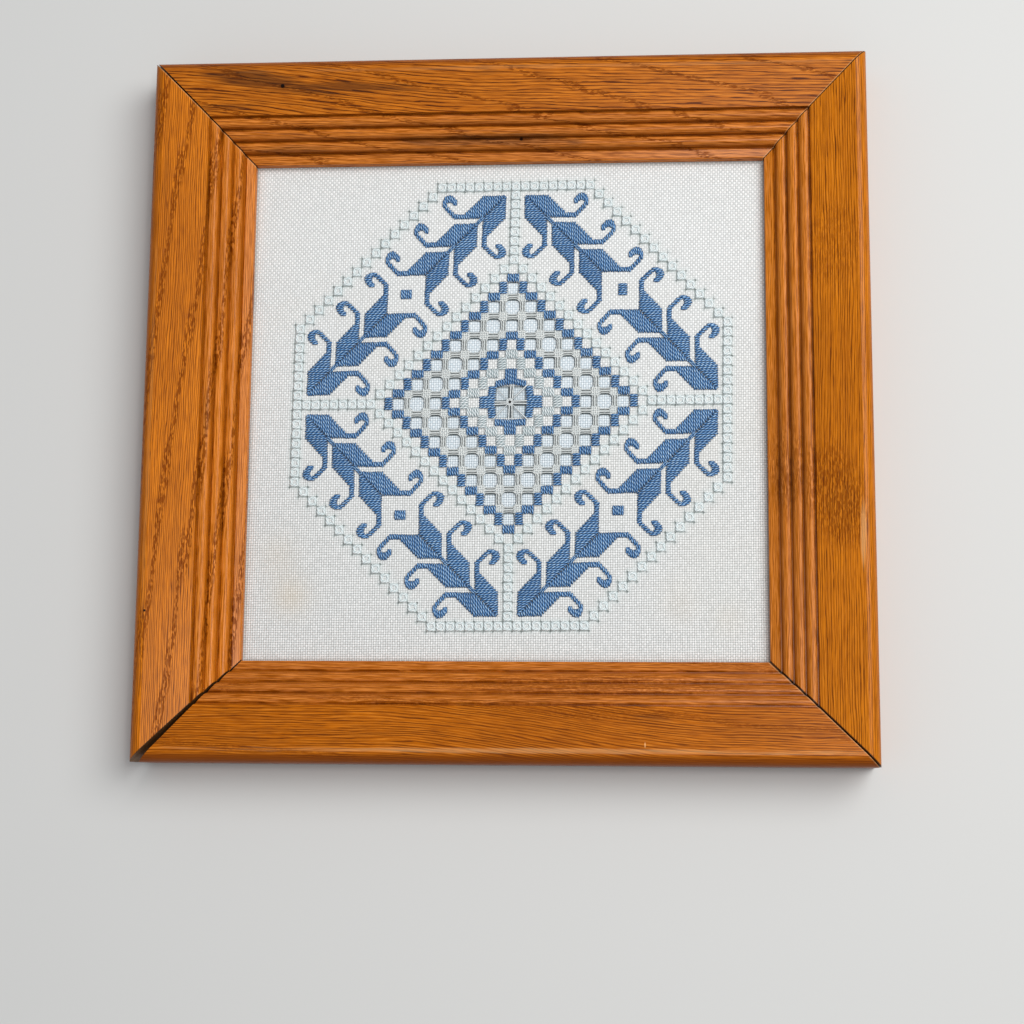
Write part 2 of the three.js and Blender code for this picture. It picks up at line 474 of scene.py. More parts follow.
class Oak(Shader):
    """Stained and varnished oak, its grain running along the rail and on down its outer side."""

    def __init__(self, name, rail):
        super().__init__("oak_" + name)
        self.rail = rail
        x, y, z = self.split(self.place())
        self.length, width = ((x, y), (y, x))[rail["along"]]
        self.half_opening, start = ((OPENING_X, OPENING_Y), (OPENING_Y, OPENING_X))[rail["along"]]
        self.outward = self.times_add(width, float(rail["side"]), -start)
        self.on_reeds = self.range(self.outward, (GROOVES[-1] + 0.2) * MM, (GROOVES[-1] - 0.2) * MM)
        beyond_crest = self.range(self.outward, (CREST - 0.01) * MM, (CREST + 0.01) * MM)
        from_crest = self.minus(2 * CREST_HEIGHT * MM, self.times(z, 2.0))
        down_side = self.times_add(from_crest, beyond_crest, z)
        self.around_face = self.plus(self.outward, down_side)
        self.across = self.across_grain()
        self.bands = self.streaks(160.0, 5.0, 0.0)
        self.drift = self.streaks(110.0, 7.0, 3.0)
        self.ripple = self.streaks(420.0, 36.0, 5.0)
        self.fibres = self.streaks(2400.0, 85.0, 9.0)
        self.blotches = self.noise(self.place(), 11.0, 3.0)
        self.lines, self.off_middle = self.grain_lines()
        self.pores = self.crowded_pores()

    def across_grain(self):
        """The distance across the grain, with its sway, its lean and the bend of its lines on the flat."""
        at_along = self.times(self.length, 16.0)
        at_out = self.times(self.outward, 50.0)
        sway = self.noise(self.join(at_along, at_out, self.rail["seed"]), 1.0)
        across = self.times_add(sway, 3.2 * MM, self.around_face)
        bend_from, bend_to, bend = self.rail["bend"]
        flat = GROOVES[-1] + 0.2
        on_flat = self.range(self.outward, flat * MM, (flat + 0.2) * MM, 0.0, bend * MM)
        bent = self.times(self.range(self.length, bend_from * MM, bend_to * MM), on_flat)
        return self.times_add(self.length, self.rail["lean"], self.plus(across, bent))

    def streaks(self, per_metre_across, per_metre_along, offset, detail=2.0):
        """Noise drawn out along the grain."""
        at_along = self.times(self.length, per_metre_along)
        at_across = self.times(self.across, per_metre_across)
        return self.noise(self.join(at_along, at_across, self.rail["seed"] + offset), 1.0, detail, 0.6)

    def grain_lines(self):
        """The broken lines of the grain, and how far a point is from the middle between two of them."""
        broken = self.streaks(760.0, 30.0, 7.0)
        rings = self.times_add(self.drift, 2.6, self.times(self.ripple, 1.5))
        rings = self.times_add(self.across, 1 / (self.rail["pitch"] * MM), rings)
        off_middle = self.from_half(rings)
        whole = self.range(broken, 0.38, 0.54, self.rail["steady"], 1.0)
        lines = self.times(self.range(off_middle, 0.36, 0.45), whole)
        lines = self.times(lines, self.times_add(self.on_reeds, -0.35, 1.0))
        return lines, off_middle

    def from_middle(self, at, out, half_long, half_wide, slant):
        """The square of the distance from a patch's middle, 1 at its rim."""
        from_along = self.over(self.minus(self.length, at * MM), half_long * MM)
        slanted = self.times_add(self.length, -slant, self.outward)
        from_out = self.minus(slanted, (out - slant * at) * MM)
        return self.square_sum(from_along, self.over(from_out, half_wide * MM))

    def crowded_pores(self):
        """The pores, short dashes that show where they crowd together in bands and patches."""
        slope, spacing, share, darkness = self.rail["pores"]
        slanting = self.times_add(self.length, slope, self.around_face)
        banded = self.times_add(self.drift, 0.7, self.over(slanting, spacing * MM))
        crowded = self.range(self.from_half(banded), 1.4 * share, 0.7 * share, 0.0, darkness)
        for *patch, depth in self.rail["patches"]:
            ragged = self.times_add(self.bands, 1.2, self.from_middle(*patch))
            crowded = self.math("MAXIMUM", crowded, self.range(ragged, 2.1, 0.7, 0.0, depth))
        dashes = self.streaks(*self.rail["dashes"], 13.0, 1.0)
        return self.times(self.range(dashes, 0.47, 0.55), crowded)

    def grain(self):
        """The colour of the grain, from its broad bands to its single pores, with painted shade beyond the
        crest.
        """
        light, dark = srgb(*self.rail["light"]), srgb(*self.rail["dark"])
        contrast = self.rail["contrast"]
        colour = self.mix(self.range(self.bands, 0.36, 0.66, 0.0, 0.25), light, dark)
        colour = self.mix(self.range(self.off_middle, 0.20, 0.06, 0.0, 0.30), colour, BETWEEN_LINES)
        colour = self.mix(self.times(self.lines, 0.95 * contrast), colour, dark)
        colour = self.mix(self.range(self.lines, 0.45, 0.95, 0.0, 0.8 * contrast), colour, DEEP_LINE)
        colour = self.mix(self.range(self.fibres, 0.42, 0.64, 0.0, 0.62), colour, dark)
        colour = self.mix(self.times(self.pores, 0.8), colour, PORE)
        colour = self.mix(self.range(self.blotches, 0.42, 0.7, 0.0, 0.25), colour, dark)
        # Painted shade: the rail darkens beyond its crest, as much as its edge says.
        edge = self.range(self.outward, (CREST + 0.5) * MM, (CREST + 3.0) * MM, 0.0, self.rail["edge"])
        return self.mix(edge, colour, dark)

    def with_smoke_and_highlights(self, colour):
        for *patch, depth in self.rail["smoke_and_highlights"]:
            ragged = self.plus(self.from_middle(*patch), 1.0)
            ragged = self.times_add(self.ripple, -2.4, ragged)
            smoke_and_highlights = self.range(ragged, 0.9, -0.3, 0.0, abs(depth))
            smoke_and_highlights = self.times(smoke_and_highlights, self.range(self.lines, 0.0, 0.8, 0.7, 1.0))
            # A negative depth paints a pale highlight instead of dark smoke.
            colour = self.mix(smoke_and_highlights, colour, SMOKE if depth > 0 else PAINTED_HIGHLIGHT)
        return colour

    def with_nails(self, colour):
        for at, out, radius in self.rail["nails"]:
            from_along = self.minus(self.length, at * MM)
            from_out = self.minus(self.outward, out * MM)
            far = self.distance(from_along, from_out)
            colour = self.mix(self.range(far, radius * 1.3 * MM, radius * 0.7 * MM), colour, NAIL_HOLE)
        return colour

    def with_grooves(self, colour):
        """A painted highlight on the reeds' crowns, and the stain that stayed in the grooves between them,
        darkened further by painted shade.
        """
        wander = self.noise(self.join(self.length, 0.0, self.rail["seed"]), 130.0)
        wobble = self.times_add(wander, 0.8 * MM, -0.4 * MM)
        at_groove = self.over(self.plus(self.outward, wobble), RAIL_WIDTH * MM)
        stops = []
        for groove in GROOVES:
            for offset, level in ((-1.0, 0.0), (-0.2, 1.0), (0.2, 1.0), (1.0, 0.0)):
                stops.append(((groove + offset * GROOVE_STAIN_AND_SHADE_WIDTH) / RAIL_WIDTH, grey(level)))
        in_groove = self.ramp(at_groove, stops)
        # Painted highlight on the reeds' crowns, broken up by the fibres and the pores.
        crown = self.times(self.on_reeds, self.flipped(in_groove))
        crown = self.times(crown, self.range(self.fibres, 0.58, 0.38, 0.0, 0.30))
        crown = self.times(crown, self.flipped(self.pores))
        colour = self.mix(crown, colour, REED_CROWN_HIGHLIGHT)
        # The grooves' darkening is partly stain and partly painted shade in the hollows; each rail's stain
        # sets how much.
        stain = self.times(in_groove, self.range(self.blotches, 0.3, 0.7, 1.0, 0.6))
        stained = self.mix(1.0, colour, GROOVE_STAIN_AND_SHADE, "MULTIPLY")
        return self.mix(self.times(stain, self.rail["stain"]), colour, stained)

    def with_mitres(self, colour):
        """The dirt in the mitres, and the stain rubbed off beside the far one."""
        along_diagonal = self.plus(self.outward, self.half_opening)
        for end, dirt, worn in zip((-1.0, 1.0), self.rail["joints"], (0.0, 0.5 * self.rail["worn"])):
            from_mitre = self.times_add(self.length, -end, along_diagonal)
            rubbed = self.range(from_mitre, (dirt + 0.9) * MM, (dirt + 0.4) * MM, 0.0, worn)
            rubbed = self.times(rubbed, self.range(self.fibres, 0.35, 0.6, 0.3, 1.0))
            colour = self.mix(rubbed, colour, WORN_WOOD)
            dirty = self.range(from_mitre, (dirt + 0.2) * MM, dirt * MM, 0.0, 0.85)
            colour = self.mix(dirty, colour, MITRE_DIRT)
        return colour

    def bare(self):
        """1 where the wood was never stained: on the cut ends and the back."""
        facing = self.split(self.add("NewGeometry").outputs["Normal"])
        end_grain = self.range(self.absolute(facing[self.rail["along"]]), 0.5, 0.85)
        return self.math("MAXIMUM", end_grain, self.range(facing[2], -0.4, -0.9))


def oak(name, rail):
    g = Oak(name, rail)
    colour = g.with_mitres(g.with_grooves(g.with_nails(g.with_smoke_and_highlights(g.grain()))))
    bare = g.bare()
    raw = g.mix(g.range(g.fibres, 0.3, 0.7), BARE_DARK, BARE_LIGHT)
    relief = g.times_add(g.pores, -1.0, g.times(g.lines, -0.7))
    g.set(
        Base_Color=g.mix(bare, colour, raw),
        Roughness=g.times_add(g.lines, 0.25, g.times_add(bare, 0.3, 0.34)),
        Normal=g.bump(relief, 0.00026, 0.9),
        Specular_IOR_Level=0.04,
        Coat_Weight=g.times_add(g.pores, -0.20, 0.24),
        Coat_Roughness=0.24,
        Coat_IOR=1.45,
    )
    return g.material


def weave(g, u, v):
    """A plain weave whose threads are one unit apart: its height, and 1 where an upright one is on top."""
    across_u = g.math("SINE", g.times(g.math("FRACT", u), math.pi))
    across_v = g.math("SINE", g.times(g.math("FRACT", v), math.pi))
    odd = g.math("MODULO", g.absolute(g.plus(g.math("FLOOR", u), g.math("FLOOR", v))), 2.0)
    upright = g.times(across_u, g.times_add(across_v, 0.45, 0.55))
    level = g.times(across_v, g.times_add(across_u, 0.45, 0.55))
    height = g.plus(g.times(upright, odd), g.times(level, g.flipped(odd)))
    return height, odd


def from_lattice(g, value, period, offset=0.0):
    """How far value is from the nearest whole number of periods, beyond offset. It may be negative."""
    shifted = g.plus(value, 50 * period + period / 2 - offset)
    return g.minus(g.math("MODULO", shifted, float(period)), period / 2)


def linen(name, bright, dull, gap):
    """Even-weave cloth, a lighter or darker thread on top at each crossing. Gives the shader's parts."""
    g = Shader(name)
    u, v, _ = g.split(g.stored("threads", "Vector"))
    u = g.times_add(g.noise(g.place(), 160.0, 2.0), 0.35, u)
    v = g.times_add(g.noise(g.place(), 190.0, 2.0), 0.35, v)
    height, odd = weave(g, u, v)
    crossing = g.join(g.math("FLOOR", u), g.math("FLOOR", v), 0.5)
    speck = g.add("TexWhiteNoise", {"Vector": crossing}).outputs["Value"]
    slub = g.noise(g.join(g.math("FLOOR", u), g.times(v, 0.16), 3.0), 3.7, 1.0)
    slub_level = g.noise(g.join(g.times(u, 0.16), g.math("FLOOR", v), 9.0), 3.7, 1.0)
    open_weave = g.range(v, 70.0, -80.0)
    parity = g.times(odd, g.times_add(open_weave, -0.45, 0.70))
    thread = g.times_add(speck, g.times_add(open_weave, 0.20, 0.30), parity)
    thread = g.times_add(open_weave, 0.12, thread)
    colour = g.mix(thread, dull, bright)
    parted = g.times(g.range(height, 0.56, 0.10), g.times_add(open_weave, 0.58, 0.52))
    colour = g.mix(parted, colour, gap)
    colour = g.mix(g.range(slub, 0.35, 0.7, 0.0, 0.10), colour, dull)
    colour = g.mix(g.range(slub_level, 0.35, 0.7, 0.0, 0.10), colour, dull)
    return g, u, v, height, colour


def finish_cloth(g, colour, relief):
    g.set(
        Base_Color=colour,
        Roughness=0.9,
        Normal=g.bump(relief, 0.00022, 0.9),
        Sheen_Weight=0.15,
        Sheen_Roughness=0.6,
        Specular_IOR_Level=0.25,
    )
    return g.material


def front_linen(name):
    """The embroidered cloth, drawn tight inside the four-sided squares and pierced at their corners, with
    painted shade in the gaps between stitches, in the needle holes and beside the frame's lip.
    """
    g, u, v, height, colour = linen(name, srgb(255, 255, 253), srgb(216, 217, 215), srgb(160, 162, 158))
    warm = g.noise(g.place(), 14.0, 3.0)
    colour = g.mix(g.range(warm, 0.5, 0.75, 0.0, 0.10), colour, srgb(214, 204, 184))
    square = g.stored("square")
    colour = g.mix(g.times(square, 0.6), colour, srgb(226, 231, 229))
    # Painted shade along the lattice lines inside the squares, in the narrow gaps between neighbouring
    # stitches.
    near_u = g.absolute(from_lattice(g, u, CELL, CELL / 2))
    near_v = g.absolute(from_lattice(g, v, CELL, CELL / 2))
    on_line = g.math("MAXIMUM", g.range(near_u, 0.55, 0.10), g.range(near_v, 0.55, 0.10))
    pulled = g.times(g.times(on_line, square), g.range(g.noise(g.place(), 320.0, 1.0), 0.35, 0.6, 0.1, 0.7))
    colour = g.mix(pulled, colour, srgb(140, 152, 148))
    from_corner = g.distance(near_u, near_v)
    corner_u = g.math("FLOOR", g.over(u, float(CELL)))
    corner_v = g.math("FLOOR", g.over(v, float(CELL)))
    pierced = g.add("TexWhiteNoise", {"Vector": g.join(corner_u, corner_v, 7.5)}).outputs["Value"]
    # Painted shade in the needle holes at the squares' corners and beside the outer blocks; the holes are
    # only dents in the bump.
    needle = g.times(g.range(from_corner, 0.65, 0.2), g.stored("needle"))
    colour = g.mix(g.times(needle, g.range(pierced, 0.2, 1.0, 0.25, 0.9)), colour, srgb(84, 94, 92))
    colour = g.mix(g.stored("stain"), colour, srgb(214, 190, 150))
    # Painted shade: the cloth darkens within a couple of millimetres of the frame's lip, where the lip's
    # shadow falls.
    x, y, _ = g.split(g.place())
    from_lip_x = g.minus(OPENING_X, g.absolute(x))
    from_lip_y = g.minus(OPENING_Y, g.absolute(y))
    from_lip = g.math("MINIMUM", from_lip_x, from_lip_y)
    colour = g.mix(g.range(from_lip, 2.2 * MM, 0.3 * MM, 0.0, 0.35), colour, srgb(122, 122, 116))
    return finish_cloth(g, colour, g.times_add(needle, -2.5, height))


def backing_linen(name):
    """The cloth behind, with painted shade along the cut edges and the kept threads around each hole, and in
    the middle opening.
    """
    g, u, v, height, colour = linen(name, srgb(249, 253, 255), srgb(217, 229, 236), srgb(126, 142, 152))
    near_u = from_lattice(g, u, 2 * CELL)
    near_v = from_lattice(g, v, 2 * CELL)
    steps_u = g.absolute(g.minus(u, near_u))
    steps_v = g.absolute(g.minus(v, near_v))
    steps = g.over(g.plus(steps_u, steps_v), float(CELL))
    in_middle_ring = g.range(g.absolute(g.minus(steps, 10.0)), 1.1, 0.9)
    reach = g.times_add(in_middle_ring, 0.55, 2.7)
    squared = [g.math("POWER", g.over(g.absolute(near), reach), 6.0) for near in (near_u, near_v)]
    edge = g.math("POWER", g.times_add(squared[1], 1.55, squared[0]), 1 / 6)
    from_centre = g.math("MAXIMUM", g.absolute(u), g.absolute(v))
    in_centre = g.range(from_centre, 8.0, 7.5)
    centre_edge = g.over(from_centre, 6.9)
    shade = g.plus(g.times(edge, g.flipped(in_centre)), g.times(centre_edge, in_centre))
    colour = g.mix(g.range(shade, 0.84, 1.0, 0.0, 0.92), colour, srgb(86, 98, 100))
    # Painted shade across the middle opening, and beside and under the star's arms.
    beside_level = g.range(g.absolute(g.plus(v, 0.15)), 1.45, 1.15)
    beside_upright = g.range(g.absolute(g.minus(u, 0.2)), 1.45, 1.15)
    under_star = g.times(g.math("MAXIMUM", beside_level, beside_upright), in_centre)
    colour = g.mix(g.times(in_centre, 0.2), colour, srgb(140, 160, 168))
    colour = g.mix(g.times(under_star, 0.9), colour, srgb(104, 112, 114))
    # Painted shade: a dark spot at the eye of the woven ring.
    eye = g.distance(g.plus(u, 0.3), v)
    colour = g.mix(g.range(eye, 1.0, 0.6), colour, srgb(84, 80, 76))
    return finish_cloth(g, colour, height)


# The threads' colours: the painted shade between the plies, the ply, the painted highlight on its top and the
# painted shade at the stitch's ends. The last number is how far painted shade darkens the sides towards the
# ends' colour.
THREADS = {
    "blue_cotton": ((22, 78, 132), (64, 144, 210), (210, 236, 252), (6, 38, 68), 0.88),
    "pale_cotton": ((146, 164, 166), (243, 249, 250), (255, 255, 255), (116, 132, 136), 0.45),
    "tight_cotton": ((198, 211, 211), (235, 242, 242), (252, 254, 254), (160, 174, 172), 0.18),
    "star_cotton": ((212, 220, 220), (242, 246, 245), (255, 255, 254), (112, 120, 122), 0.75),
    "cloth_threads": ((200, 206, 206), (232, 235, 231), (250, 250, 244), (98, 110, 112), 0.78),
}
PLY_LENGTH = 2.0
PLY_TURNS = 3.0


def floss(name):
    """Two-ply cotton: the plies run aslant across the strand, with a painted highlight on each ply's top and
    painted shade between the plies, along the strand's sides and at its ends.
    """
    g = Shader(name)
    *colours, side_shade = THREADS[name]
    deep, body, ply_highlight, end_shade = (srgb(*colour) for colour in colours)
    along, around, tone = g.split(g.stored("twist", "Vector"))
    lift = g.stored("lift")
    own = g.times(tone, 90.0)
    turn = g.times_add(around, PLY_TURNS, g.over(along, PLY_LENGTH))
    plies = g.times_add(g.math("COSINE", g.times(turn, 2 * math.pi)), 0.5, 0.5)
    hairs = g.noise(g.join(g.times(turn, 5.0), g.times(along, 0.8), own), 1.0, 2.0)
    patches = g.noise(g.place(), 45.0, 2.0)
    # Painted shade between the plies and a painted highlight on their tops.
    colour = g.mix(g.range(plies, 0.05, 0.65), deep, body)
    lit = g.times(g.range(plies, 0.5, 0.95), g.range(hairs, 0.35, 0.65, 0.2, 1.0))
    colour = g.mix(lit, colour, ply_highlight)
    colour = g.mix(g.range(tone, 0.1, 0.9, 0.30, 0.0), colour, deep)
    colour = g.mix(g.range(patches, 0.4, 0.7, 0.0, 0.20), colour, deep)
    # Painted shade along the strand's sides and at its ends.
    from_top = g.absolute(g.minus(around, 0.5))
    colour = g.mix(g.range(from_top, 0.06, 0.15, 0.0, side_shade), colour, end_shade)
    colour = g.mix(g.range(lift, 0.85, 0.1), colour, end_shade)
    g.set(
        Base_Color=colour,
        Roughness=0.5,
        Specular_IOR_Level=0.5,
        Sheen_Weight=0.2,
        Sheen_Roughness=0.45,
        Normal=g.bump(g.times_add(hairs, 0.35, plies), 0.00016, 0.8),
    )
    return g.material


def fibreboard(name):
    """Brown pressed fibre."""
    g = Shader(name)
    at = g.place()
    clumps = g.noise(at, 60.0, 4.0, 0.6)
    fibres = g.noise(at, 900.0, 3.0, 0.7)
    colour = g.mix(g.range(clumps, 0.35, 0.65), srgb(112, 78, 50), srgb(140, 102, 68))
    colour = g.mix(g.range(fibres, 0.45, 0.75, 0.0, 0.5), colour, srgb(84, 58, 38))
    g.set(Base_Color=colour, Roughness=0.85, Normal=g.bump(fibres, 0.0002, 0.6))
    return g.material


def plain_floor(name):
    g = Shader(name)
    g.set(Base_Color=srgb(214, 213, 210), Roughness=0.9)
    return g.material


# Cloths.


def sheet_mesh(name, us, vs, keep, to_point, thickness, attributes):
    """A cloth over the grid lines us and vs, as a closed sheet. keep says which of its meshes are there."""
    columns, rows = len(us), len(vs)
    u, v = np.meshgrid(us, vs)
    top = to_point(u.ravel(), v.ravel())
    bottom = top - [0, 0, thickness * MM]
    index = np.arange(columns * rows).reshape(rows, columns)
    middle_u, middle_v = (us[:-1] + us[1:]) / 2, (vs[:-1] + vs[1:]) / 2
    there = np.array([[keep(at_u, at_v) for at_u in middle_u] for at_v in middle_v])
    under = columns * rows
    faces = []
    for r in range(rows - 1):
        for c in range(columns - 1):
            if not there[r, c]:
                continue
            a, b, d, e = index[r, c], index[r, c + 1], index[r + 1, c + 1], index[r + 1, c]
            faces.append((a, b, d, e))
            faces.append((e + under, d + under, b + under, a + under))
            for step_r, step_c, p, q in ((-1, 0, a, b), (0, 1, b, d), (1, 0, d, e), (0, -1, e, a)):
                next_r, next_c = r + step_r, c + step_c
                inside = 0 <= next_r < rows - 1 and 0 <= next_c < columns - 1
                if not (inside and there[next_r, next_c]):
                    faces.append((q, p, p + under, q + under))
    used = np.unique(np.concatenate([np.array(f) for f in faces]))
    renumber = np.full(2 * under, -1)
    renumber[used] = np.arange(len(used))
    points = np.concatenate([top, bottom])[used]
    stored = {}
    for key, function in attributes.items():
        values = np.asarray(function(u.ravel(), v.ravel()))
        stored[key] = np.concatenate([values, values])[used]
    return new_mesh(name, points, [[int(renumber[i]) for i in f] for f in faces], stored)


def grid_lines(step):
    """The cloths' grid lines, step threads apart, with one more along each cut edge."""
    us = np.array([-118.0, *np.arange(-114, 111, step), 113.0])
    vs = np.array([-112.0, *np.arange(-108, 103, step), 105.5])
    return us, vs


def on_cloth(u, v, relief):
    """Points of the embroidered cloth, its outermost grid lines laid along its cut edges."""
    points = place(u, v, relief)
    for axis, values, low, high in ((0, u, cloth_low.x, cloth_high.x), (1, v, cloth_low.y, cloth_high.y)):
        points[values <= values.min() + 1e-9, axis] = low
        points[values >= values.max() - 1e-9, axis] = high
    return points


def ground_cloth(material):
    """The embroidered cloth, without the cut band and the middle."""
    us, vs = grid_lines(CELL // 2)
    squares = set(square_cells())
    holes = [(CELL * i, CELL * j) for n in CUT_RINGS for i, j in ring(n) if is_hole(i, j)]

    def cell_of(u, v):
        return int(math.floor(u / CELL + 0.5)), int(math.floor(v / CELL + 0.5))

    def keep(u, v):
        return not is_open(*cell_of(u, v))

    def corner_cells(u, v):
        return [cell_of(u + du, v + dv) for du in (-1, 1) for dv in (-1, 1)]

    def is_corner(u, v):
        return (u + CELL / 2) % CELL == 0 and (v + CELL / 2) % CELL == 0

    def needle(u, v):
        out = np.zeros(len(u))
        for n, (a, b) in enumerate(zip(u, v)):
            around = corner_cells(a, b)
            if not is_corner(a, b):
                continue
            if any(c in squares for c in around):
                out[n] = 0.8
            elif {ring_of(*c) for c in around} >= {OUTER_BLOCKS, OUTER_BLOCKS + 1}:
                out[n] = 0.6
        return out

    def square(u, v):
        return np.array([float(any(c in squares for c in corner_cells(a, b))) for a, b in zip(u, v)])

    def stain(u, v):
        spots = ((-92, -79, 8, 0.30), (-98, -62, 9, 0.16), (72, -84, 8, 0.12), (92, -90, 7, 0.12))
        out = np.zeros(len(u))
        for at_u, at_v, reach, strength in spots:
            out += strength * np.exp(-((u - at_u) ** 2 + (v - at_v) ** 2) / reach**2)
        return out

    def relief(u, v):
        out = np.zeros(len(u))
        for n, (a, b) in enumerate(zip(u, v)):
            if is_corner(a, b):
                if any(c in squares for c in corner_cells(a, b)):
                    out[n] = -0.25
            elif a % CELL == 0 and b % CELL == 0 and cell_of(a, b) in squares:
                out[n] = 0.5
        return out

    def draw_back(u, v):
        """The cut edges, drawn back from the holes and from the middle opening."""
        moved_u, moved_v = u.astype(float), v.astype(float)
        for at_u, at_v in holes:
            off_u, off_v = u - at_u, v - at_v
            on_edge = np.maximum(np.abs(off_u), np.abs(off_v)) == CELL / 2
            share = np.where(np.abs(off_u) == np.abs(off_v), 0.5, 1.0) * on_edge * CUT_CLOTH_DRAW
            moved_u += share * np.sign(off_u)
            moved_v += share * np.sign(off_v)
        reach = (CENTRE_REACH + 0.5) * CELL
        on_edge = np.maximum(np.abs(u), np.abs(v)) == reach
        moved_u += CUT_CLOTH_DRAW * on_edge * (np.abs(u) == reach) * np.sign(u)
        moved_v += CUT_CLOTH_DRAW * on_edge * (np.abs(v) == reach) * np.sign(v)
        return moved_u, moved_v

    def to_point(u, v):
        moved_u, moved_v = draw_back(u, v)
        return on_cloth(moved_u, moved_v, relief(u, v))

    attributes = {
        "threads": lambda u, v: np.stack([*draw_back(u, v), np.zeros(len(u))], -1),
        "needle": needle,
        "square": square,
        "stain": stain,
    }
    piece = sheet_mesh("embroidered_cloth", us, vs, keep, to_point, CLOTH_SHEET, attributes)
    add_piece(piece, material)
    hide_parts("ground_cloth")
    return piece


def backing_cloth(material):
    """The plain cloth behind, seen through the cut holes."""
    us, vs = grid_lines(CELL)

    def to_point(u, v):
        points = on_cloth(u, v, np.zeros(len(u)))
        points[:, 2] = points[:, 2] - FACE_Z + backing_high.z + BACKING_LIFT * MM
        return points

    attributes = {"threads": lambda u, v: np.stack([u, v, np.zeros(len(u))], -1)}
    piece = sheet_mesh("backing_cloth_weave", us, vs, lambda u, v: True, to_point, CLOTH_SHEET, attributes)
    add_piece(piece, material)
    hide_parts("backing_cloth")
    return piece


# Embroidery.


def block(strands, i, j):
    """Five stitches over four threads, upright in an even column and level in an odd one."""
    upright = i % 2 == 0
    at, over = (CELL * i, CELL * j) if upright else (CELL * j, CELL * i)
    step = (0, 1) if upright else (1, 0)
    low = over - CELL / 2 + (CUT_END_DRAW if is_hole(i - step[0], j - step[1]) else -END_REACH)
    high = over + CELL / 2 - (CUT_END_DRAW if is_hole(i + step[0], j + step[1]) else -END_REACH)
    for n in range(-2, 3):
        line = at + n * 1.04
        jitter = rng.uniform(-0.12, 0.12, 2)
        start, end = (line, low + jitter[0]), (line, high + jitter[1])
        if not upright:
            start, end = start[::-1], end[::-1]
        strands.stitch(start, end)


def blocks(name, rings, material):
    """The satin blocks of a few rings of the design."""
    strands = Strands()
    for n in rings:
        for cell in ring(n):
            block(strands, *cell)
    return strands.finish(name, material)


def centre_tees(strands):
    """The four T shapes round the middle opening, from the upper one to the left: their arms bow outwards."""
    quarter_turn = np.array([[0, -1], [1, 0]])
    sizes = ((7.1, 9.8, 14.0, 0.025), (6.5, 9.8, 13.4, 0.01), (7.1, 9.9, 13.6, 0.005), (6.6, 9.8, 13.6, 0.01))
    for quarter, (inner_edge, outer_edge, stem_end, bow) in enumerate(sizes):
        spin = np.linalg.matrix_power(quarter_turn, quarter)
        for n in range(-6, 7):
            inner = inner_edge - bow * n * n - END_REACH
            outer = stem_end if abs(n) <= 2 else outer_edge - bow * n * n
            strands.stitch(spin @ (n * 1.02, inner), spin @ (n * 1.02, outer + END_REACH))


def corner_squares(strands):
    """A small block beyond each side of the diamond. One of the four is worked level."""
    reach = 1.95 + END_REACH
    for at_u, at_v in ((-46, 46), (-46, -46), (46, -45)):
        for n in range(-2, 3):
            strands.stitch((at_u + n * 0.95, at_v - reach), (at_u + n * 0.95, at_v + reach))
    for n in range(-2, 3):
        strands.stitch((47 - reach, 46.5 + n * 1.0), (47 + reach, 46.5 + n * 1.0))


def leaf_stitches():
    """A leaf half's stitches from its outer corner: the thread, the start, the end and the end's shade."""
    rows = []
    for a in range(1, LEAF_LENGTH + 1):
        top = 0 if a <= LEAF_SPINE else min(a - LEAF_SPINE, LEAF_SHOULDER - LEAF_SPINE)
        beside_spine = a <= LEAF_SPINE
        end = a + SPINE_OVERLAP if beside_spine else LEAF_SPINE + END_REACH
        rows.append((a, top - END_REACH, end, 0.6 if beside_spine else 0.2))
    return rows


def leaf(strands, rows, place_on, tied):
    """A leaf and its two hooks. A tie of two short stitches joins it to the next leaf."""
    for mirrored in (False, True):
        for a, start, end, dimmed in rows:
            jitter = rng.uniform(-0.12, 0.12, 2)
            first, last = (a, start + jitter[0]), (a, end + jitter[1])
            if mirrored:
                first, last = first[::-1], last[::-1]
            strands.stitch(place_on(*first), place_on(*last), dimmed=dimmed)
    if tied:
        for aside in (-0.28, 0.28):
            first, last = place_on(9.2 - aside, 9.2 + aside), place_on(12.6 - aside, 12.6 + aside)
            strands.stitch(first, last, half_width=0.5, rise=0.5, tone=0.9)


def leaf_sprays(material):
    """Eight sprays of three leaves. In each quarter one is the other's mirror image about the diagonal."""
    strands = Strands()
    rows = leaf_stitches() + [(*row, 0.0) for row in HOOK]
    for sign_u, sign_v, swapped in itertools.product((1, -1), (1, -1), (False, True)):
        for near, far in LEAF_CORNERS:

            def place_on(a, b):
                p, q = near + a, far - b
                if swapped:
                    p, q = q, p
                return sign_u * p, sign_v * q

            leaf(strands, rows, place_on, near < LEAF_CORNERS[-1][0])
    return strands.finish("leaf_sprays", material)


def four_sided_squares(material):
    """Each square has a stitch along each side, drawn tight so that the cloth between puffs up."""
    strands = Strands()
    half = CELL / 2
    inset = 0.70
    for i, j in square_cells():
        middle = np.array([CELL * i, CELL * j], float)
        for side_u, side_v in ((0, 1), (1, 0), (0, -1), (-1, 0)):
            out = np.array([side_u, side_v], float)
            along = np.array([-side_v, side_u], float)
            slant = rng.uniform(-0.15, 0.15)
            start = middle + out * (half - inset + slant) - along * (half - 0.15)
            end = middle + out * (half - inset - slant) + along * (half - 0.15)
            strands.stitch(start, end, half_width=0.80, half_height=0.34, rise=0.14)
    return strands.finish("four_sided_squares", material)


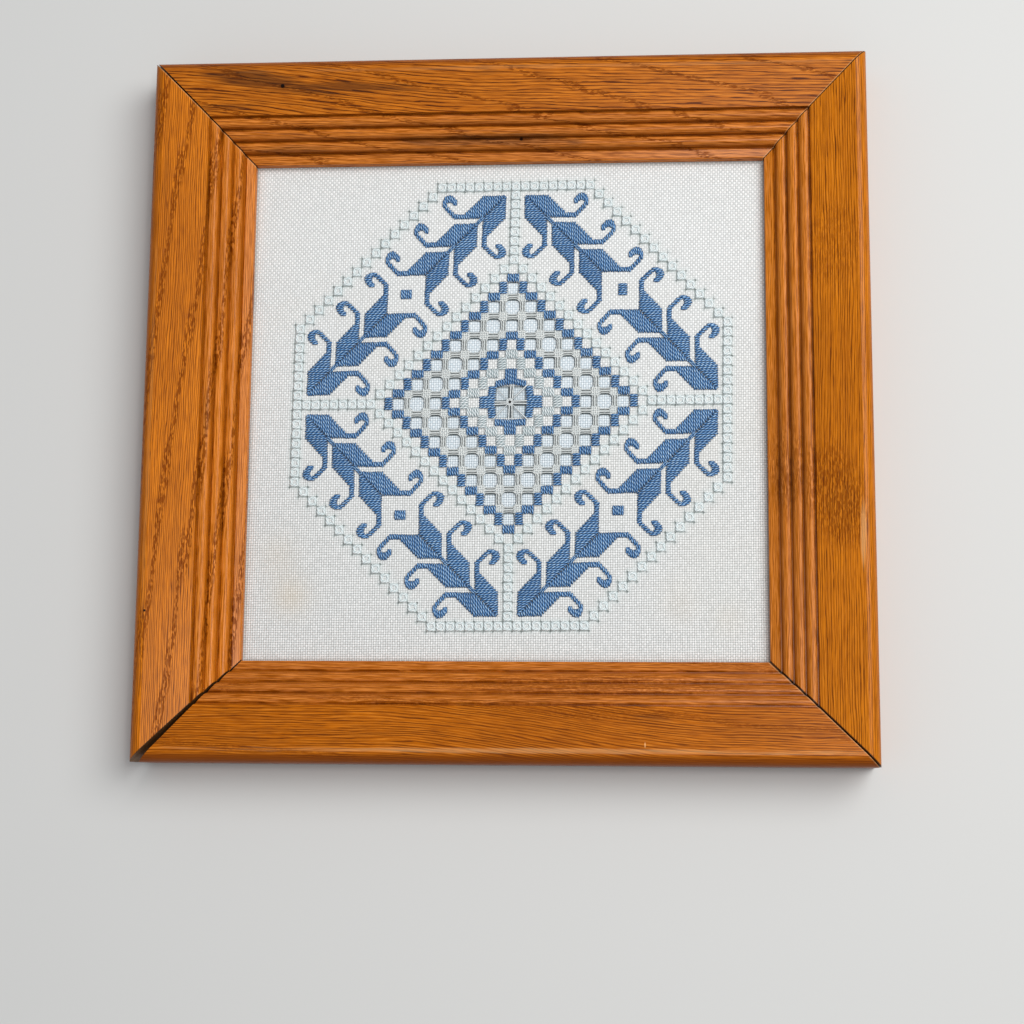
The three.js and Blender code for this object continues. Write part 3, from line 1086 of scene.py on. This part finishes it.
def kept_run(strands, column, index, cells, upright):
    """One kept thread through the cut band: gathered in the bars, woven over and under at the crossings."""
    sign = 1 if column > 0 else -1
    buried = (OPEN_OFFSETS[index], -0.35, 0.46)
    stations = [(CELL * cells[0] - 3.2, *buried)]
    for cell in cells:
        if cell % 2:
            for k in range(4):
                over = 1 if (index + k + upright) % 2 == 0 else -1
                stations.append((CELL * cell + (k - 1.5) * 0.85, OPEN_OFFSETS[index], 0.10 * over, 0.60))
        else:
            steps = abs(column) + abs(cell)
            shift = BAR_SHIFT * sign * (-1 if steps % 4 == 1 else 1)
            for k, spread in ((-1.75, 1.12), (0.0, 1.0), (1.75, 1.12)):
                stations.append((CELL * cell + k, BAR_OFFSETS[index] * spread + shift, -0.05, 0.30))
    stations.append((CELL * cells[-1] + 3.2, *buried))
    exact = np.arange(len(stations))
    steps = np.arange(0, len(stations) - 0.75, 0.5)
    along, offset, height, half = (np.interp(steps, exact, line) for line in np.array(stations).T)
    across = CELL * column + offset
    path = place(across, along, height) if upright else place(along, across, height)
    strands.add(path, half * THREAD_X, 0.28, rng.uniform(0.3, 0.7), 1.0)


def kept_threads(material):
    """The threads left standing in the cut band, four to a column or row."""
    strands = Strands()
    reach = CUT_RINGS[-1]
    for column in range(-reach + 1, reach, 2):
        band = [c for c in range(-reach, reach + 1) if ring_of(column, c) in CUT_RINGS]
        breaks = [n for n in range(1, len(band)) if band[n] != band[n - 1] + 1]
        for part in np.split(np.array(band), breaks):
            for index in range(4):
                kept_run(strands, column, index, part.tolist(), True)
                kept_run(strands, column, index, part.tolist(), False)
    return strands.finish("kept_threads", material)


def centre_star(material):
    """The kept threads across the middle opening, its diagonals and the woven ring where they meet."""
    strands = Strands()
    ring_u, ring_v = -0.3, 0.0
    arms = (
        ((-0.2, 1.0), (0.05, 7.8)), ((0.75, 0.9), (1.1, 7.7)),
        ((-0.5, -1.0), (-0.75, -7.7)), ((0.6, -1.0), (0.8, -7.7)),
        ((-1.3, 0.0), (-7.4, 0.15)), ((-1.2, -0.7), (-7.4, -0.95)),
        ((0.8, 0.35), (7.4, 0.45)), ((0.8, -0.5), (7.4, -0.7)),
    )
    s = np.linspace(0.0, 1.0, 9)
    for (near_u, near_v), (far_u, far_v) in arms:
        path = place(near_u + (far_u - near_u) * s, near_v + (far_v - near_v) * s, 0.10)
        strands.add(path, 0.42, 0.30, rng.uniform(0.6, 0.95), 1.0)
    diagonals = (
        (7.3, 7.2, 0.42, 0.95), (-6.2, 6.0, 0.22, 0.2), (-7.5, -7.4, 0.34, 0.7), (7.3, -7.4, 0.40, 0.9),
    )
    for end_u, end_v, half, tone in diagonals:
        s = np.linspace(0.15, 1.0, 9)
        path = place(ring_u + (end_u - ring_u) * s, ring_v + (end_v - ring_v) * s, 0.14 + 0.50 * s)
        strands.add(path, half * (0.6 + 0.5 * s), half * 0.9, tone, 1.0)
    for radius, start in ((0.85, 0.0), (1.35, 0.5)):
        turn = np.linspace(start, start + 2 * np.pi * 0.98, 25)
        height = 0.30 + 0.12 * np.sin(8 * turn)
        path = place(ring_u + radius * np.cos(turn), ring_v + radius * np.sin(turn), height)
        strands.add(path, 0.36, 0.28, 0.8, 1.0)
    return strands.finish("centre_star", material)


# The view and its light.


def camera_matrix():
    """Where the camera stands: the inverse of the turn and shift that bring the cloth before the lens."""
    turns = [Matrix.Rotation(math.radians(angle), 4, axis) for angle, axis in zip(CAMERA_TURNS, "XYZ")]
    before_lens = Matrix.Translation(Vector(CAMERA_OFFSET) * MM) @ turns[0] @ turns[1] @ turns[2]
    return Matrix.Translation((0, 0, FACE_Z)) @ before_lens.inverted()


def add_camera():
    data = bpy.data.cameras.new("camera")
    data.sensor_fit = "HORIZONTAL"
    data.sensor_width = SENSOR
    data.lens = CAMERA_LENS
    data.clip_start = 0.05
    camera = bpy.data.objects.new("camera", data)
    camera.matrix_world = camera_matrix()
    bpy.context.scene.collection.objects.link(camera)
    bpy.context.scene.camera = camera


def add_light(name, location, size, power, colour):
    """A round soft light turned to the middle of the frame."""
    data = bpy.data.lights.new(name, "AREA")
    data.shape = "DISK"
    data.size = size
    data.energy = power
    data.color = colour
    light = bpy.data.objects.new(name, data)
    light.location = location
    light.rotation_euler = (-Vector(location)).to_track_quat("-Z", "Y").to_euler()
    bpy.context.scene.collection.objects.link(light)


def add_surroundings():
    scene = bpy.context.scene
    scene.view_settings.view_transform = "Standard"
    scene.view_settings.look = "None"
    world = bpy.data.worlds.new("studio")
    scene.world = world
    world.use_nodes = True
    background = world.node_tree.nodes["Background"]
    background.inputs["Color"].default_value = (0.92, 0.95, 1.0, 1)
    background.inputs["Strength"].default_value = 0.40
    add_light("key", (1.00, 0.55, 1.55), 1.4, 25.5, (0.98, 0.99, 0.985))
    add_light("front", (0.22, -0.12, 1.20), 0.26, 3.0, (1.0, 0.98, 0.97))
    size = 4.0
    corners = [(-size, -size, 0), (size, -size, 0), (size, size, 0), (-size, size, 0)]
    floor = new_mesh("floor", corners, [(0, 1, 2, 3)], smooth=False)
    floor.location.z = -0.0002
    floor.data.materials.append(plain_floor("floor_grey"))


def paint(node, material):
    """Gives a kept solid its material."""
    shown = nodes[node]
    if not shown.material_slots:
        shown.data.materials.append(material)
    for slot in shown.material_slots:
        slot.material = material


def finish_rails():
    for name, rail in RAILS.items():
        paint(name, oak(name, rail))


def main():
    add_camera()
    add_surroundings()
    finish_rails()
    paint("back_board", fibreboard("pressed_board"))

    cloth = front_linen("evenweave")
    backing = backing_linen("backing_weave")
    blue = floss("blue_cotton")
    pale = floss("pale_cotton")
    tight = floss("tight_cotton")
    star = floss("star_cotton")
    kept = floss("cloth_threads")

    behind = backing_cloth(backing)
    front = ground_cloth(cloth)
    diamonds = blocks("blue_diamonds", (OUTER_BLOCKS, INNER_BLOCKS), blue)
    stitched = [diamonds, leaf_sprays(blue)]
    tees = Strands()
    centre_tees(tees)
    corner_squares(tees)
    stitched.append(tees.finish("blue_tees_and_squares", blue))
    stitched.append(blocks("pale_blocks", (PALE_BLOCKS,), pale))
    stitched.append(four_sided_squares(tight))
    stitched.append(kept_threads(kept))
    stitched.append(centre_star(star))


main()

bpy.context.view_layer.update()
